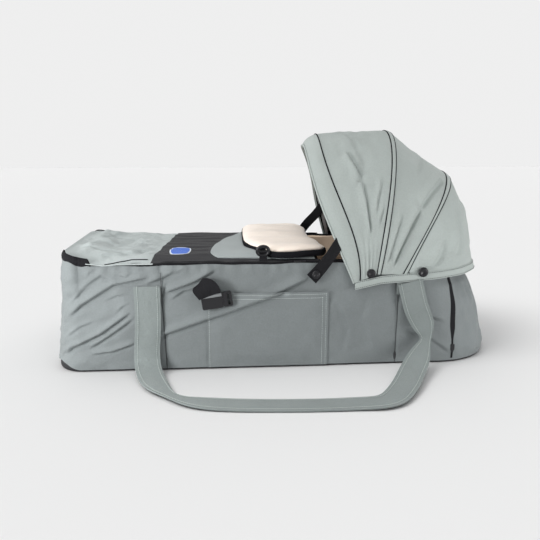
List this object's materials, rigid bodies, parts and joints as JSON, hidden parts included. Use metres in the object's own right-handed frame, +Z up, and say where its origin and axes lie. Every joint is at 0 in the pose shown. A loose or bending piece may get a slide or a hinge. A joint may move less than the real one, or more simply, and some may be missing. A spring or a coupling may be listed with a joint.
{
  "type": "carrycot",
  "caption": "Soft oblong baby carrycot with padded walls, folding hood, zipped apron with folded bib, side pocket, side buckles and two webbing carry straps.",
  "frame": {"origin": "on the ground, under the centre of the bounding box", "axes": "+Z up, +X towards the head end under the hood, -Y towards the pocket side"},
  "size_m": [0.8275, 0.7572, 0.4214],
  "materials": {
    "grey_fabric": "fine twill polyester",
    "black_fabric": "black woven polyester",
    "beige_fleece": "soft beige fleece",
    "beige_lining": "beige cotton lining",
    "mattress_cover": "white cotton cover",
    "foam": "polyester padding",
    "board": "stiff plastic board",
    "bow_strip": "springy plastic strip",
    "black_plastic": "moulded acetal",
    "blue_label": "plain woven label"
  },
  "bodies": {
    "cot": {"base_cover": "black_fabric", "base_board": "board", "base_piping": "black_fabric", "side_panel_near": "grey_fabric", "side_panel_far": "grey_fabric", "head_panel": "grey_fabric", "foot_panel": "grey_fabric", "wall_foam_near": "foam", "wall_foam_far": "foam", "wall_foam_head": "foam", "wall_foam_foot": "foam", "lining": "beige_lining", "mattress": "mattress_cover", "rim_binding": "black_fabric", "foot_strip": "black_fabric", "pocket": "grey_fabric", "strap_anchors": "grey_fabric", "side_zip_tapes": "black_fabric", "head_zip_tapes": "black_fabric", "buckle_sockets": "black_plastic", "buckle_webbings": "black_fabric", "hood_panel_rear": "grey_fabric", "hood_hem": "grey_fabric", "hood_hubs": "black_plastic", "hem_snaps": "black_plastic"},
    "hood_rear": {"bow_rear": "bow_strip", "sleeve_rear": "grey_fabric"},
    "hood_mid": {"bow_mid": "bow_strip", "sleeve_mid": "grey_fabric", "hood_panel_mid": "grey_fabric"},
    "hood_front": {"bow_front": "bow_strip", "hood_visor": "grey_fabric", "hood_panel_front": "grey_fabric"},
    "apron": {"apron_cover": "grey_fabric", "apron_band": "black_fabric", "apron_inset": "grey_fabric", "apron_label": "blue_label"},
    "bib": {"bib_pad": "beige_fleece", "bib_trim": "black_fabric", "bib_button": "black_plastic"},
    "strap_legs_near": {"strap_legs_near": "grey_fabric"},
    "strap_loop_near": {"strap_loop_near": "grey_fabric"},
    "side_slider_near": {"side_zip_slider_near": "black_plastic"},
    "head_slider_near": {"head_zip_slider_near": "black_plastic"},
    "plug_near": {"buckle_plug_near": "black_plastic"},
    "prong_upper_near": {"buckle_prong_upper_near": "black_plastic"},
    "prong_lower_near": {"buckle_prong_lower_near": "black_plastic"},
    "hood_strap_near": {"hood_strap_near": "black_fabric", "hood_strap_snap_near": "black_plastic"},
    "strap_legs_far": {"strap_legs_far": "grey_fabric"},
    "strap_loop_far": {"strap_loop_far": "grey_fabric"},
    "side_slider_far": {"side_zip_slider_far": "black_plastic"},
    "head_slider_far": {"head_zip_slider_far": "black_plastic"},
    "plug_far": {"buckle_plug_far": "black_plastic"},
    "prong_upper_far": {"buckle_prong_upper_far": "black_plastic"},
    "prong_lower_far": {"buckle_prong_lower_far": "black_plastic"},
    "hood_strap_far": {"hood_strap_far": "black_fabric", "hood_strap_snap_far": "black_plastic"}
  },
  "joints": [
    {"name": "hood_fold", "type": "hinge", "parent": "cot", "child": "hood_rear", "pos_m": [0.153, 0, 0.172], "axis": [0, 1, 0], "range_deg": [0, 18.8]},
    {"name": "hood_mid_fold", "type": "hinge", "parent": "hood_rear", "child": "hood_mid", "pos_m": [0.153, 0, 0.172], "axis": [0, 1, 0], "range_deg": [0, 26.8], "deforming": ["hood_panel_mid", "hood_panel_rear"]},
    {"name": "hood_front_fold", "type": "hinge", "parent": "hood_mid", "child": "hood_front", "pos_m": [0.153, 0, 0.172], "axis": [0, 1, 0], "range_deg": [0, 21.4], "deforming": ["hood_panel_front"]},
    {"name": "apron_fold", "type": "hinge", "parent": "cot", "child": "apron", "pos_m": [-0.4002, 0, 0.1904], "axis": [0, -1, 0], "range_deg": [0, 90]},
    {"name": "bib_fold", "type": "hinge", "parent": "apron", "child": "bib", "pos_m": [0.061, 0, 0.1998], "axis": [0, 1, 0], "range_deg": [0, 175]},
    {"name": "strap_lift_near", "type": "hinge", "parent": "cot", "child": "strap_legs_near", "pos_m": [0, -0.19, 0.139], "axis": [-1, 0, 0], "range_deg": [0, 155]},
    {"name": "strap_bend_near", "type": "hinge", "parent": "strap_legs_near", "child": "strap_loop_near", "pos_m": [0, -0.19, 0.006], "axis": [-1, 0, 0], "range_deg": [-90, 0]},
    {"name": "side_zip_near", "type": "slide", "parent": "cot", "child": "side_slider_near", "axis": [-1, 0, 0], "range_m": [0, 0.29]},
    {"name": "head_zip_near", "type": "slide", "parent": "cot", "child": "head_slider_near", "axis": [0, 0, 1], "range_m": [0, 0.1]},
    {"name": "buckle_slide_near", "type": "slide", "parent": "cot", "child": "plug_near", "axis": [0.9903, 0, 0.1392], "range_m": [0, 0.032]},
    {"name": "buckle_press_near", "type": "hinge", "parent": "plug_near", "child": "prong_upper_near", "pos_m": [-0.11037, -0.1909, 0.13908], "axis": [0, -1, 0], "range_deg": [0, 6], "stiffness_Nm_per_rad": 0.05},
    {"name": "buckle_press_lower_near", "type": "hinge", "parent": "plug_near", "child": "prong_lower_near", "pos_m": [-0.10815, -0.1909, 0.12324], "axis": [0, 1, 0], "range_deg": [0, 6], "stiffness_Nm_per_rad": 0.05},
    {"name": "hood_strap_turn_near", "type": "hinge", "parent": "cot", "child": "hood_strap_near", "pos_m": [0.055, -0.1804, 0.171], "axis": [0, -1, 0], "range_deg": [0, 38]},
    {"name": "strap_lift_far", "type": "hinge", "parent": "cot", "child": "strap_legs_far", "pos_m": [0, 0.19, 0.139], "axis": [1, 0, 0], "range_deg": [0, 155]},
    {"name": "strap_bend_far", "type": "hinge", "parent": "strap_legs_far", "child": "strap_loop_far", "pos_m": [0, 0.19, 0.006], "axis": [1, 0, 0], "range_deg": [-90, 0]},
    {"name": "side_zip_far", "type": "slide", "parent": "cot", "child": "side_slider_far", "axis": [-1, 0, 0], "range_m": [0, 0.29]},
    {"name": "head_zip_far", "type": "slide", "parent": "cot", "child": "head_slider_far", "axis": [0, 0, 1], "range_m": [0, 0.1]},
    {"name": "buckle_slide_far", "type": "slide", "parent": "cot", "child": "plug_far", "axis": [0.9903, 0, 0.1392], "range_m": [0, 0.032]},
    {"name": "buckle_press_far", "type": "hinge", "parent": "plug_far", "child": "prong_upper_far", "pos_m": [-0.11037, 0.1909, 0.13908], "axis": [0, -1, 0], "range_deg": [0, 6], "stiffness_Nm_per_rad": 0.05},
    {"name": "buckle_press_lower_far", "type": "hinge", "parent": "plug_far", "child": "prong_lower_far", "pos_m": [-0.10815, 0.1909, 0.12324], "axis": [0, 1, 0], "range_deg": [0, 6], "stiffness_Nm_per_rad": 0.05},
    {"name": "hood_strap_turn_far", "type": "hinge", "parent": "cot", "child": "hood_strap_far", "pos_m": [0.055, 0.1804, 0.171], "axis": [0, -1, 0], "range_deg": [0, 38]}
  ],
  "couplings": [
    {"joint": "hood_mid_fold", "follows": "hood_fold", "ratio": 1.42},
    {"joint": "hood_front_fold", "follows": "hood_fold", "ratio": 1.13},
    {"joint": "strap_bend_near", "follows": "strap_lift_near", "ratio": -0.58},
    {"joint": "buckle_press_lower_near", "follows": "buckle_press_near", "ratio": 1},
    {"joint": "strap_bend_far", "follows": "strap_lift_far", "ratio": -0.58},
    {"joint": "buckle_press_lower_far", "follows": "buckle_press_far", "ratio": 1}
  ]
}
